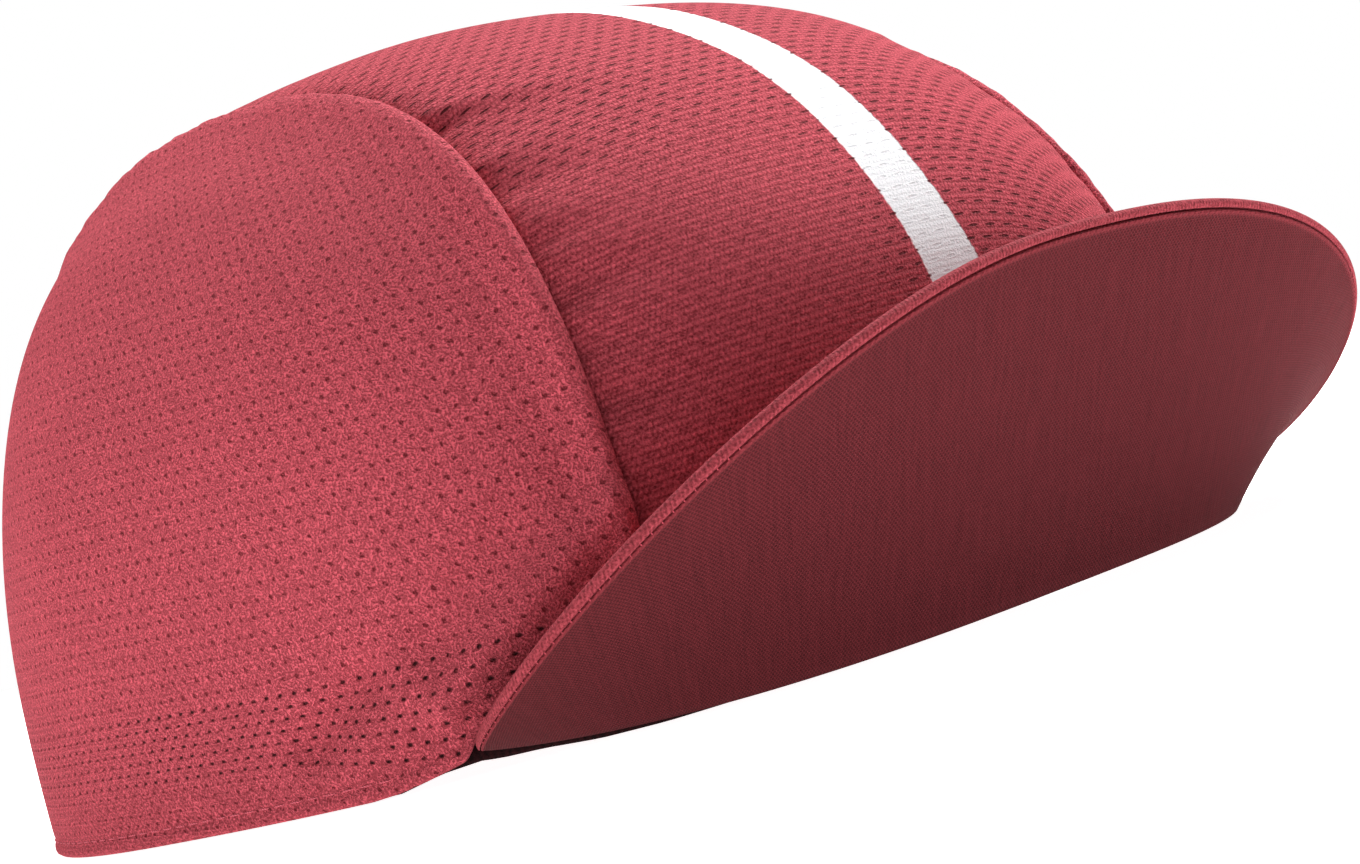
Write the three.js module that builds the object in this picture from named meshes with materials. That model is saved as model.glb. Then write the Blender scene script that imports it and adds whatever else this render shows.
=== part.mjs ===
// A cycling cap with its peak turned up. Millimetres, +Z up, the front towards -Y and the
// wearer's right towards -X. The hem lies on z = 0.
import * as THREE from 'three';

// Crown: plan of the rim, and height
const HALF_WIDTH = 84.5;
const FRONT_REACH = 87.2;
const BACK_REACH = 96.6;
const CROWN_HEIGHT = 102.4;
const TOP_SETBACK = 19.8;

// How square the rim and the side views are: 2 is an ellipse, more is squarer
const RIM_SQUARENESS = { front: 2.77, back: 2.05 };
const PROFILE_SQUARENESS = { front: 2.72, side: 2.69, back: 2.16 };

// Cloth, and the clearance between pieces
const CLOTH = 1.2;
const BAND_CLOTH = 1.1;
const BAND_HEIGHT = 19;
const CLEARANCE = 0.3;
const BAND_CLEARANCE = 0.7;
const BAND_SLACK = 1.6;

// Centre panel: its half width at the back, and the shares of it that steer the seam from the
// front rim to the back rim
const PANEL_HALF_WIDTH = 43.4;
const SEAM_STEERING = [1.37, 0.93, 1.05, 0.93, 1.0];

// Raised fold along the edge of each side panel
const FOLD_PROUD = 1.1;
const FOLD_WIDTH = 3.2;
const FOLD_ROWS = [
  { across: 0.0, proud: 0.3 },
  { across: 0.22, proud: 0.95 },
  { across: 0.5, proud: 0.9 },
  { across: 1.0, proud: 0.0 },
];
const FOLD_START_HEIGHT = 4;
const FOLD_FULL_HEIGHT = 14;

// Gathers in the centre panel beside the seams. Heights are shares of the crown's height,
// depths and reaches shares of the two sizes above the table.
const GATHER_DEPTH = 1.8;
const GATHER_REACH = 18;
const GATHER_WIDTH = 4;
const GATHERS = [
  { height: 0.79, depth: 1.0, reach: 1.0 },
  { height: 0.69, depth: 0.7, reach: 0.8 },
  { height: 0.56, depth: 1.0, reach: 1.1 },
  { height: 0.41, depth: 0.8, reach: 1.2 },
  { height: 0.28, depth: 0.7, reach: 1.0 },
];

// Soft folds low on the side panels, each a line between two places. Around is a share of
// the quarter from the side (0) to the front (1), height a share of the crown's height,
// width a share of the fold spread and proud a share of the fold relief. They die out
// within the calm hem.
const SOFT_FOLD_SPREAD = 7;
const SOFT_FOLD_RELIEF = 2;
const CALM_HEM = 8;
const SOFT_FOLDS = [
  { around: 0.54, height: 0.34, toAround: 0.33, toHeight: 0.06, width: 0.8, proud: 0.8 },
  { around: 0.5, height: 0.19, toAround: 0.37, toHeight: 0.07, width: 0.65, proud: -0.9 },
  { around: 0.36, height: 0.25, toAround: 0.2, toHeight: 0.09, width: 0.9, proud: -0.7 },
  { around: 0.19, height: 0.09, toAround: 0.17, toHeight: 0.05, width: 0.75, proud: -0.6 },
];

// Peak: turned up along its base. The lean is from upright, in degrees: in the middle, what
// the sides add to it and what the ends add to that.
const PEAK_LENGTH = 49.5;
const PEAK_HALF_SPAN_DEG = 56.2;
const PEAK_USED_SPAN = 0.988;
const PEAK_OUTLINE = { flatness: 3.1, roundness: 0.78 };
const PEAK_LEAN = { middle: 25.3, sides: 27.7, ends: 28.4 };
const PEAK_STANDOFF = 0.65;
const PEAK_BASE_HEIGHT = { middle: 0.1, ends: 2.1 };
const COVER_CLOTH = 1.2;
const ROLL_CLOSE = 0.92;
const UNDER_COVER_SHORT = 0.7;
const TUCK_START = 2;
const TUCK_HEIGHT = 13;
const TUCK_FADE = 0.15;
const TUCK_CLEARANCE = 0.5;

// Grid steps of the faceted solids
const HEM_ROWS = [0, 2.8, 6.5, 12, 19];
const LEAST_ROW = 0.5;
const CROWDING = 0.88;
const FRONT_CROWDING = 1.3;
const STEPS = {
  panelAlong: 34,
  panelAcross: 16,
  sideDown: 6,
  peakAlong: 44,
  peakRoll: 7,
};

const PEAK_THICKNESS = 2 * COVER_CLOTH + CLEARANCE;
const QUARTER = Math.PI / 2;
const UP = new THREE.Vector3(0, 0, 1);

const mix = (a, b, share) => a + (b - a) * share;
const clampShare = (value) => THREE.MathUtils.clamp(value, 0, 1);
const smoothShare = (value) => THREE.MathUtils.smoothstep(value, 0, 1);
const steps = (count) => Array.from({ length: count + 1 }, (_, index) => index / count);

// The rim and the profile change their squareness with the angle around, which runs from
// -90 degrees at the back over 0 at the side to 90 at the front.
function rimSquareness(around) {
  return mix(RIM_SQUARENESS.back, RIM_SQUARENESS.front, smoothShare((1 + Math.sin(around)) / 2));
}

function profileSquareness(around) {
  const end = around > 0 ? PROFILE_SQUARENESS.front : PROFILE_SQUARENESS.back;
  return mix(PROFILE_SQUARENESS.side, end, Math.sin(around) ** 2);
}

// The place at an angle on a curve between a circle and a square
function squaredCircle(angle, squareness) {
  const [across, up] = [Math.cos(angle), Math.sin(angle)];
  const size = (Math.abs(across) ** squareness + Math.abs(up) ** squareness) ** (-1 / squareness);
  return [across * size, up * size];
}

// side is -1 on the wearer's right and 1 on the left
function rimPoint(side, around) {
  const reach = around > 0 ? FRONT_REACH : BACK_REACH;
  const [across, forward] = squaredCircle(around, rimSquareness(around));
  return new THREE.Vector3(side * HALF_WIDTH * across, -reach * forward, 0);
}

// climb runs from 0 at the rim to 90 degrees at the top
function domePoint(side, around, climb) {
  const [spread, up] = squaredCircle(climb, profileSquareness(around));
  const point = rimPoint(side, around).multiplyScalar(spread);
  point.y += TOP_SETBACK * (1 - spread);
  point.z = CROWN_HEIGHT * up;
  return point;
}

function domeNormal(side, around, climb) {
  const nudge = 1e-3;
  const alongRim = domePoint(side, around + nudge, climb).sub(domePoint(side, around - nudge, climb));
  const upWall = domePoint(side, around, climb + nudge).sub(domePoint(side, around, climb - nudge));
  const normal = alongRim.cross(upWall);
  if (normal.length() < 1e-9) {
    return UP.clone();
  }
  return normal.normalize().multiplyScalar(-side);
}

// Where a rising measure passes its target, found by halving
function solve(low, high, measure, target) {
  let [from, to] = [low, high];
  for (let step = 0; step < 36; step += 1) {
    const middle = (from + to) / 2;
    if (measure(middle) < target) {
      from = middle;
    } else {
      to = middle;
    }
  }
  return (from + to) / 2;
}

// The climb where the dome's profile has a share of its full spread or height
function climbAt(around, measureIndex, share) {
  const squareness = profileSquareness(around);
  const other = (1 - clampShare(share) ** squareness) ** (1 / squareness);
  const [spread, up] = measureIndex === 0 ? [share, other] : [other, share];
  return Math.atan2(up, spread);
}

function climbAtHeight(around, height) {
  return climbAt(around, 1, clampShare(height / CROWN_HEIGHT));
}

// The angle around and the climb above a place in plan
function overPlan(x, y) {
  const bearingOf = (point) => Math.atan2(-(point.y - TOP_SETBACK), Math.abs(point.x));
  const bearing = bearingOf({ x, y });
  const around = solve(-QUARTER, QUARTER, (angle) => bearingOf(rimPoint(1, angle)), bearing);
  const rim = rimPoint(1, around);
  const spread = Math.hypot(x, y - TOP_SETBACK) / Math.hypot(rim.x, rim.y - TOP_SETBACK);
  return { side: x < 0 ? -1 : 1, around, climb: climbAt(around, 0, clampShare(spread)) };
}

function rimPlanY(x, end) {
  const angle = solve(0, QUARTER, (turn) => -rimPoint(1, end * turn).x, -Math.abs(x));
  return rimPoint(1, end * angle).y;
}

// Half width of the centre panel at a share of the way from the front rim to the back rim
function panelHalfWidth(along) {
  let shares = SEAM_STEERING;
  while (shares.length > 1) {
    shares = shares.slice(1).map((share, index) => mix(shares[index], share, along));
  }
  return PANEL_HALF_WIDTH * shares[0];
}

// A place in the plan of the centre panel. across runs from -1 to 1 between the seams, and
// inset moves the seam inwards.
function panelPlan(along, across, inset) {
  const front = rimPlanY(across * (panelHalfWidth(0) - inset), 1);
  const back = rimPlanY(across * (panelHalfWidth(1) - inset), -1);
  return { x: across * (panelHalfWidth(along) - inset), y: mix(front, back, along) };
}

function heightOverPanel(along, across) {
  const { x, y } = panelPlan(along, across, 0);
  const place = overPlan(x, y);
  return domePoint(place.side, place.around, place.climb).z;
}

// How far a place on a lengthwise line has turned over the top, from 0 at the front rim to pi
function turnOverPanel(along, across) {
  return Math.atan2(2 * heightOverPanel(along, across) / CROWN_HEIGHT, 2 - 4 * along);
}

// Where the cross rows of the panels meet a lengthwise line of the centre panel, as shares
// of the way from the front rim to the back rim: the hem rows, then turns over the top that
// are closer together in front, where the gathers are
function panelStations(across) {
  const middle = 0.5;
  const frontRows = HEM_ROWS.map((height) => (
    height === 0 ? 0 : solve(0, middle, (along) => heightOverPanel(along, across), height)
  ));
  const backRows = HEM_ROWS.map((height) => (
    height === 0 ? 1 : solve(1, middle, (along) => heightOverPanel(along, across), height)
  ));
  const turn = (along) => turnOverPanel(along, across);
  const [first, last] = [frontRows[frontRows.length - 1], backRows[backRows.length - 1]];
  const topRows = steps(STEPS.panelAlong).slice(1, -1).map((share) => (
    solve(first, last, turn, mix(turn(first), turn(last), share ** FRONT_CROWDING))
  ));
  return [...frontRows, ...topRows, ...backRows.reverse()];
}

// Inward pull of the hem under the turned-up peak, so that the peak's base clears it
function peakShare(around) {
  return (QUARTER - around) / THREE.MathUtils.degToRad(PEAK_HALF_SPAN_DEG);
}

function peakLean(share) {
  const lean = PEAK_LEAN.middle + PEAK_LEAN.sides * share ** 2 + PEAK_LEAN.ends * share ** 4;
  return THREE.MathUtils.degToRad(lean);
}

function hemTuck(around, height) {
  const share = peakShare(around);
  const behind = PEAK_THICKNESS * Math.cos(peakLean(Math.min(share, 1)));
  const depth = behind - PEAK_STANDOFF + TUCK_CLEARANCE;
  const fade = 1 - smoothShare((share - 1) / TUCK_FADE);
  const rise = 1 - smoothShare((height - TUCK_START) / TUCK_HEIGHT);
  return Math.max(depth, 0) * fade * rise;
}

// How far a soft fold lifts the cloth at a place on a side panel
function softFoldLift(around, height) {
  const arc = (HALF_WIDTH + FRONT_REACH) / 2;
  const here = new THREE.Vector2(around * arc, height);
  let lift = 0;
  for (const fold of SOFT_FOLDS) {
    const start = new THREE.Vector2(fold.around * QUARTER * arc, fold.height * CROWN_HEIGHT);
    const end = new THREE.Vector2(fold.toAround * QUARTER * arc, fold.toHeight * CROWN_HEIGHT);
    const run = end.clone().sub(start);
    const share = clampShare(here.clone().sub(start).dot(run) / run.lengthSq());
    const distance = here.distanceTo(start.addScaledVector(run, share));
    lift += fold.proud * Math.exp(-((distance / (fold.width * SOFT_FOLD_SPREAD)) ** 2));
  }
  return SOFT_FOLD_RELIEF * lift * smoothShare(height / CALM_HEM);
}

// How far the gathers sink the centre panel at a distance from the seam
function gatherSink(fromSeam, height) {
  let sink = 0;
  for (const gather of GATHERS) {
    const off = (height - gather.height * CROWN_HEIGHT) / GATHER_WIDTH;
    const reach = gather.reach * GATHER_REACH;
    sink += gather.depth * Math.exp(-(off ** 2)) * (1 - smoothShare(fromSeam / reach));
  }
  return GATHER_DEPTH * sink;
}

// A point of the crown's wall: on the dome, moved out by proud and in by the hem's tuck
function wallPoint(side, around, climb, proud) {
  const point = domePoint(side, around, climb);
  const normal = domeNormal(side, around, climb);
  const inward = new THREE.Vector3(normal.x, normal.y, 0);
  if (inward.length() > 1e-6) {
    point.addScaledVector(inward.normalize(), -hemTuck(around, point.z));
  }
  return point.addScaledVector(normal, proud);
}

// Indexed triangles with shared corners. Corners that fall together are one, and triangles
// without area are left out.
class Solid {
  constructor() {
    this.corners = [];
    this.triangles = [];
    this.known = new Map();
  }

  corner(point) {
    const key = [point.x, point.y, point.z].map((value) => Math.round(value * 1e5)).join();
    if (!this.known.has(key)) {
      this.known.set(key, this.corners.length / 3);
      this.corners.push(point.x, point.y, point.z);
    }
    return this.known.get(key);
  }

  triangle(a, b, c) {
    if (a !== b && b !== c && c !== a) {
      this.triangles.push(a, b, c);
    }
  }

  quad(a, b, c, d) {
    this.triangle(a, b, c);
    this.triangle(a, c, d);
  }

  // A surface over a grid of points, rows of equal length
  surface(rows) {
    for (let row = 0; row + 1 < rows.length; row += 1) {
      for (let column = 0; column + 1 < rows[row].length; column += 1) {
        const corners = [
          rows[row][column],
          rows[row + 1][column],
          rows[row + 1][column + 1],
          rows[row][column + 1],
        ];
        this.quad(...corners.map((point) => this.corner(point)));
      }
    }
  }

  geometry() {
    const geometry = new THREE.BufferGeometry();
    geometry.setAttribute('position', new THREE.Float32BufferAttribute(this.corners, 3));
    geometry.setIndex(this.triangles);
    if (signedVolume(this.corners, this.triangles) < 0) {
      const flipped = [];
      for (let index = 0; index < this.triangles.length; index += 3) {
        const [a, b, c] = this.triangles.slice(index, index + 3);
        flipped.push(a, c, b);
      }
      geometry.setIndex(flipped);
    }
    geometry.computeVertexNormals();
    return geometry;
  }
}

function signedVolume(corners, triangles) {
  const at = (index) => new THREE.Vector3().fromArray(corners, 3 * index);
  let volume = 0;
  for (let index = 0; index < triangles.length; index += 3) {
    const [a, b, c] = triangles.slice(index, index + 3).map(at);
    volume += a.dot(b.cross(c)) / 6;
  }
  return volume;
}

// A closed sheet of cloth between an outer and an inner grid of points
function sheetGeometry(outer, inner) {
  const solid = new Solid();
  solid.surface(outer);
  solid.surface([...inner].reverse());
  const last = outer[0].length - 1;
  solid.surface([inner[0], outer[0]]);
  solid.surface([outer[outer.length - 1], inner[inner.length - 1]]);
  solid.surface(outer.map((row, index) => [inner[index][0], row[0]]));
  solid.surface(outer.map((row, index) => [row[last], inner[index][last]]));
  return solid.geometry();
}

// Lengthwise lines of the centre panel, closer together towards the seams
function panelColumns() {
  const crowding = CROWDING * QUARTER;
  return steps(STEPS.panelAcross).map((step) => (
    Math.sin(mix(-1, 1, step) * crowding) / Math.sin(crowding)
  ));
}

function centrePanelGeometry() {
  const columns = panelColumns().map((across) => (
    panelStations(across).map((along) => {
      const plan = panelPlan(along, across, CLEARANCE / 2);
      const { side, around, climb } = overPlan(plan.x, plan.y);
      const fromSeam = (1 - Math.abs(across)) * panelHalfWidth(along);
      const height = domePoint(side, around, climb).z;
      const sink = around > 0 ? gatherSink(fromSeam, height) : 0;
      return { side, around, climb, sink };
    })
  ));
  const layer = (proud) => columns.map((column) => column.map(
    ({ side, around, climb, sink }) => wallPoint(side, around, climb, proud - sink),
  ));
  return sheetGeometry(layer(0), layer(-CLOTH));
}

// The columns of a side panel from the front to the back. Each starts at a place on the seam
// and fans out to a foot on the rim.
function sideColumns() {
  const placeAt = (along) => {
    const plan = panelPlan(along, 1, -CLEARANCE / 2);
    return overPlan(plan.x, plan.y);
  };
  const [front, back] = [placeAt(0).around, placeAt(1).around];
  return panelStations(1).map((along) => ({
    seam: placeAt(along),
    foot: mix(front, back, turnOverPanel(along, 1) / Math.PI),
  }));
}

function columnAround({ seam, foot }, climb) {
  return seam.climb > 0 ? mix(foot, seam.around, climb / seam.climb) : seam.around;
}

function columnHeight(column, climb) {
  return domePoint(1, columnAround(column, climb), climb).z;
}

// Rows down a column: close together over the raised fold, even on the plain part, then the
// hem rows. Where the panel is low, the rows that would lie above the fold fall on it.
function sideRows(column) {
  const top = column.seam.climb;
  const aboveStart = columnHeight(column, top) - FOLD_START_HEIGHT;
  const fade = clampShare(aboveStart / (FOLD_FULL_HEIGHT - FOLD_START_HEIGHT));
  const foldClimb = (FOLD_WIDTH * fade) / CROWN_HEIGHT;
  const foldRows = FOLD_ROWS.map((row) => ({
    climb: top - row.across * foldClimb,
    proud: row.proud * FOLD_PROUD * fade,
  }));
  const belowFold = foldRows[foldRows.length - 1].climb;
  const heightAt = (climb) => columnHeight(column, climb);
  const hemClimbs = HEM_ROWS.map((height) => {
    if (height === 0) {
      return 0;
    }
    const low = height > heightAt(belowFold) - LEAST_ROW;
    return low ? belowFold : solve(0, belowFold, heightAt, height);
  }).reverse();
  const plainClimbs = steps(STEPS.sideDown).slice(1, -1).map((share) => (
    mix(belowFold, hemClimbs[0], share)
  ));
  return [...foldRows, ...[...plainClimbs, ...hemClimbs].map((climb) => ({ climb, proud: 0 }))];
}

function sidePanelGeometry(side) {
  const layer = (outside) => sideColumns().map((column) => (
    sideRows(column).map(({ climb, proud }) => {
      const around = columnAround(column, climb);
      const height = domePoint(side, around, climb).z;
      const lift = softFoldLift(around, height) + (outside ? proud : -CLOTH);
      return wallPoint(side, around, climb, lift);
    })
  ));
  return sheetGeometry(layer(true), layer(false));
}

// The band inside the hem goes all the way round, with the columns of the panels outside it
function sweatbandGeometry() {
  const outside = -(CLOTH + BAND_CLEARANCE);
  const inside = outside - BAND_CLOTH;
  const rimColumns = (along) => panelColumns().slice(1, -1).map((across) => {
    const plan = panelPlan(along, across, 0);
    return overPlan(plan.x, plan.y);
  });
  const sideFeet = (side) => sideColumns().map(({ foot }) => ({ side, around: foot }));
  const columns = [
    ...rimColumns(0),
    ...sideFeet(1),
    ...rimColumns(1).reverse(),
    ...sideFeet(-1).reverse(),
  ];
  columns.push(columns[0]);
  const loop = (height, proud) => columns.map(({ side, around }) => {
    const lift = BAND_SLACK * Math.min(softFoldLift(around, height), 0);
    return wallPoint(side, around, climbAtHeight(around, height), proud + lift);
  });
  const heights = [...HEM_ROWS.filter((height) => height < BAND_HEIGHT), BAND_HEIGHT];
  const solid = new Solid();
  solid.surface([
    ...heights.map((height) => loop(height, outside)),
    ...[...heights].reverse().map((height) => loop(height, inside)),
    loop(0, outside),
  ]);
  return solid.geometry();
}

// The peak's frame at a share of its span, -1 at the wearer's right end to 1 at the left:
// the base of its outer face, the way it rises and the way out of that face
function peakFrame(share) {
  const side = share < 0 ? -1 : 1;
  const size = Math.abs(share);
  const around = QUARTER - size * THREE.MathUtils.degToRad(PEAK_HALF_SPAN_DEG);
  const rim = rimPoint(side, around);
  const out = size < 1e-6 ? new THREE.Vector3(0, -1, 0) : domeNormal(side, around, 0);
  out.z = 0;
  out.normalize();
  const lean = peakLean(size);
  const base = rim.addScaledVector(out, PEAK_STANDOFF);
  base.z = PEAK_BASE_HEIGHT.middle + PEAK_BASE_HEIGHT.ends * size ** 2;
  return {
    base,
    rise: out.clone().multiplyScalar(Math.sin(lean)).addScaledVector(UP, Math.cos(lean)),
    face: out.clone().multiplyScalar(Math.cos(lean)).addScaledVector(UP, -Math.sin(lean)),
    length: PEAK_LENGTH * (1 - size ** PEAK_OUTLINE.flatness) ** PEAK_OUTLINE.roundness,
  };
}

// A peak cover is a closed outline, given in length along the rise and depth behind the
// outer face, carried from one end of the span to the other
function peakCoverGeometry(outlineAt) {
  const sections = steps(STEPS.peakAlong).map((step) => {
    const frame = peakFrame(PEAK_USED_SPAN * Math.sin(mix(-1, 1, step) * QUARTER));
    return outlineAt(frame.length).map(([along, depth]) => (
      frame.base.clone().addScaledVector(frame.rise, along).addScaledVector(frame.face, -depth)
    ));
  });
  const solid = new Solid();
  solid.surface(sections.map((section) => [...section, section[0]]));
  for (const [section, first] of [[sections[0], true], [sections[sections.length - 1], false]]) {
    const flat = new THREE.Vector3().subVectors(section[1], section[0]);
    capSection(solid, section, first, flat);
  }
  return solid.geometry();
}

// Closes an end of a cover with the triangles of its flat outline
function capSection(solid, section, first, alongAxis) {
  const axis = alongAxis.normalize();
  const other = section.reduce((best, point) => {
    const offset = point.clone().sub(section[0]);
    offset.addScaledVector(axis, -offset.dot(axis));
    return offset.length() > best.length() ? offset : best;
  }, new THREE.Vector3()).normalize();
  const flat = section.map((point) => {
    const offset = point.clone().sub(section[0]);
    return new THREE.Vector2(offset.dot(axis), offset.dot(other));
  });
  const forward = THREE.ShapeUtils.isClockWise(flat);
  const corners = section.map((point) => solid.corner(point));
  for (const [a, b, c] of THREE.ShapeUtils.triangulateShape(flat, [])) {
    if (forward === first) {
      solid.triangle(corners[a], corners[c], corners[b]);
    } else {
      solid.triangle(corners[a], corners[b], corners[c]);
    }
  }
}

// The under cover stops short of the rolled edge
function underCoverOutline(length) {
  const top = length - PEAK_THICKNESS - UNDER_COVER_SHORT;
  return [[0, 0], [top, 0], [top, COVER_CLOTH], [0, COVER_CLOTH]];
}

// The top cover lies behind the under cover and rolls over the peak's edge
function topCoverOutline(length) {
  const radius = PEAK_THICKNESS / 2;
  const front = COVER_CLOTH + CLEARANCE;
  const roll = steps(STEPS.peakRoll).map((share) => {
    const angle = mix(-QUARTER, 2 * QUARTER * ROLL_CLOSE, share);
    return [length - radius + radius * Math.cos(angle), radius - radius * Math.sin(angle)];
  });
  return [[0, front], [0, PEAK_THICKNESS], ...roll, [length - 2 * radius, front]];
}

function cloth(color, roughness) {
  return new THREE.MeshStandardMaterial({ color, roughness, metalness: 0 });
}

function piece(name, geometry, material) {
  const mesh = new THREE.Mesh(geometry, material);
  mesh.name = name;
  return mesh;
}

const knit = cloth('#c8505f', 0.85);
const weave = cloth('#6e2f34', 0.9);
const edging = cloth('#c24b5a', 0.85);
const lining = cloth('#2a1014', 0.9);

const cap = new THREE.Group();
cap.add(
  piece('centre_panel', centrePanelGeometry(), knit),
  piece('side_panel_right', sidePanelGeometry(-1), knit),
  piece('side_panel_left', sidePanelGeometry(1), knit),
  piece('sweatband', sweatbandGeometry(), lining),
  piece('peak_top_cover', peakCoverGeometry(topCoverOutline), edging),
  piece('peak_under_cover', peakCoverGeometry(underCoverOutline), weave),
);

// The origin is under the middle of the whole cap
const box = new THREE.Box3().setFromObject(cap);
cap.position.y = -(box.min.y + box.max.y) / 2;
cap.position.z = -box.min.z;

export default cap;
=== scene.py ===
# A cycling cap with its peak turned up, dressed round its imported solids. Shapes are worked out
# in millimetres round the rim's middle, +Z up, the front towards -Y and the wearer's right
# towards -X, and go into Blender in metres in the frame of the solids.
import math

import bpy
import numpy as np
from mathutils import Matrix, Vector
from mathutils.bvhtree import BVHTree


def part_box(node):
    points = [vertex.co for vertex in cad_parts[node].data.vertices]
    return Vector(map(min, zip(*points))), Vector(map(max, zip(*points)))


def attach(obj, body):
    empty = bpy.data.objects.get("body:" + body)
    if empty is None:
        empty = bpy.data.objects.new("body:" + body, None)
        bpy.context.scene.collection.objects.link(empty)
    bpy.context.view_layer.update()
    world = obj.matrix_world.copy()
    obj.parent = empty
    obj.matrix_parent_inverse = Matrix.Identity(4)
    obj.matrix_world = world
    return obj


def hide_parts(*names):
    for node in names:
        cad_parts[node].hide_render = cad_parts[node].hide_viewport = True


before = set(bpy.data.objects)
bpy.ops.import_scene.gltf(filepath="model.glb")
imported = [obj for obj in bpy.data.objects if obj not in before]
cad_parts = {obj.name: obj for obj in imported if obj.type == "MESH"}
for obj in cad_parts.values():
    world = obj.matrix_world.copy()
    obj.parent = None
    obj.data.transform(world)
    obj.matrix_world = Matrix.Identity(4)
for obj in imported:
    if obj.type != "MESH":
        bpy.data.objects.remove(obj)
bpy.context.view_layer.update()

# Crown, as in the solids
HALF_WIDTH = 84.5
FRONT_REACH = 87.2
BACK_REACH = 96.6
CROWN_HEIGHT = 102.4
TOP_SETBACK = 19.8
RIM_SQUARENESS = {"front": 2.77, "back": 2.05}
PROFILE_SQUARENESS = {"front": 2.72, "side": 2.69, "back": 2.16}
CLOTH = 1.2
BAND_CLOTH = 1.1
BAND_HEIGHT = 19
BAND_CLEARANCE = 0.7
BAND_SLACK = 1.6
PANEL_HALF_WIDTH = 43.4
SEAM_STEERING = [1.37, 0.93, 1.05, 0.93, 1.0]
SEAM_GAP = 0.12

# Gathers beside the front seams, in mm: the height where each starts, its depth, how far it reaches
# from the seam, its width and how much it climbs over that reach
GATHERS = [
    {"height": 84.0, "depth": 0.4, "reach": 21, "width": 3.0, "drop": 2.0},
    {"height": 77.5, "depth": 0.25, "reach": 14, "width": 2.2, "drop": 1.0},
    {"height": 70.5, "depth": 1.2, "reach": 19, "width": 2.8, "drop": 1.0},
    {"height": 62.5, "depth": 0.8, "reach": 13, "width": 2.2, "drop": 0.5},
    {"height": 55.5, "depth": 1.2, "reach": 20, "width": 2.8, "drop": 0.0},
    {"height": 47.5, "depth": 0.8, "reach": 14, "width": 2.3, "drop": -0.5},
    {"height": 40.5, "depth": 1.1, "reach": 20, "width": 2.9, "drop": -1.0},
    {"height": 29.5, "depth": 0.9, "reach": 17, "width": 2.8, "drop": -1.0},
]
GATHER_SHARE = {"front": 1.15, "back": 0.25}
FAR_GATHER_SHARE = 0.35

# Crease over the gathers: the cloth steps down along a line that starts at the seam and slants back.
# back is where the line meets the seam, measured from the front rim.
CREASE = {
    "back": 100.9,
    "half_width": 49.2,
    "slope": 0.45,
    "depth": 3.2,
    "drop": 4.0,
    "sharpness": 1.2,
    "recovery": 13,
    "reach": 18,
}

# Soft folds: low on the side panels near the peak, and two shallow ones higher up. Places are shares
# of a quarter turn and of the crown's height, widths are shares of the spread.
SOFT_FOLD_SPREAD = 7
SOFT_FOLD_RELIEF = 2
CALM_HEM = 8
SOFT_FOLDS = [
    {"around": 0.54, "height": 0.265, "to_around": 0.36, "to_height": 0.095, "width": 0.45, "proud": 1.3},
    {"around": 0.555, "height": 0.18, "to_around": 0.43, "to_height": 0.08, "width": 0.45, "proud": -0.8},
    {"around": 0.445, "height": 0.27, "to_around": 0.355, "to_height": 0.175, "width": 0.5, "proud": -0.45},
    {"around": 0.28, "height": 0.15, "to_around": 0.2, "to_height": 0.085, "width": 0.45, "proud": -0.95},
    {"around": 0.315, "height": 0.115, "to_around": 0.26, "to_height": 0.07, "width": 0.6, "proud": 0.35},
    {"around": 0.1, "height": 0.75, "to_around": 0.3, "to_height": 0.5, "width": 1.2, "proud": -0.12},
    {"around": 0.22, "height": 0.86, "to_around": 0.38, "to_height": 0.7, "width": 0.9, "proud": -0.14},
]

# Fold of the side panel's edge over the seam, against the distance from the seam in mm, and its
# share on the far side, where the photo shows it flatter
FOLD_PROFILE = {
    "distance": [0.0, 0.4, 1.3, 2.6, 4.4, 8.0, 13.0],
    "proud": [0.0, 0.6, 1.2, 1.6, 1.5, 0.7, 0.0],
}
FAR_FOLD = 0.7

# Centre panel beside the seam, which dips under the fold
DITCH_PROFILE = {
    "distance": [0.0, 0.8, 1.8, 3.5, 6.0],
    "proud": [-0.55, -0.4, -0.22, -0.06, 0.0],
}

# Seam allowance: the cloth's edges turn into the crown along a seam, from above the band
SEAM_ALLOWANCE = {"depth": 3.5, "width": 1.6, "from_height": BAND_HEIGHT, "fade": 4}

# Unevenness of the cloth: each pair is a wave length and a size in mm
PUCKERS = [(4.6, 0.16), (7.3, 0.14), (3.1, 0.07)]
PUCKER_REACH = 5
FOLD_WAVES = [(3.7, 0.05), (8.3, 0.06), (21, 0.05)]
CENTRE_WAVES = [(37, 0.1), (61, 0.14)]
SIDE_WAVES = [(43, 0.12), (71, 0.16)]
CALM_ABOVE_HEM = {"seam": 10, "waves": 20}

# Hem: how the edge turns in, its padding below the stitch line, the groove along that line, and
# the stitches, which stay clear of the peak's corner
HEM_TURN = 0.9
HEM_PAD = 0.28
HEM_PAD_FADE = {"start": 1.2, "width": 1.6}
HEM_STITCH_HEIGHT = 2.2
HEM_GROOVE = {"depth": 0.35, "width": 0.6}
HEM_STITCH = {"length": 2.2, "gap": 0.95, "radius": 0.12, "clear": 16, "sunk": 0.04, "bulge": 0.1}

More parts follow.
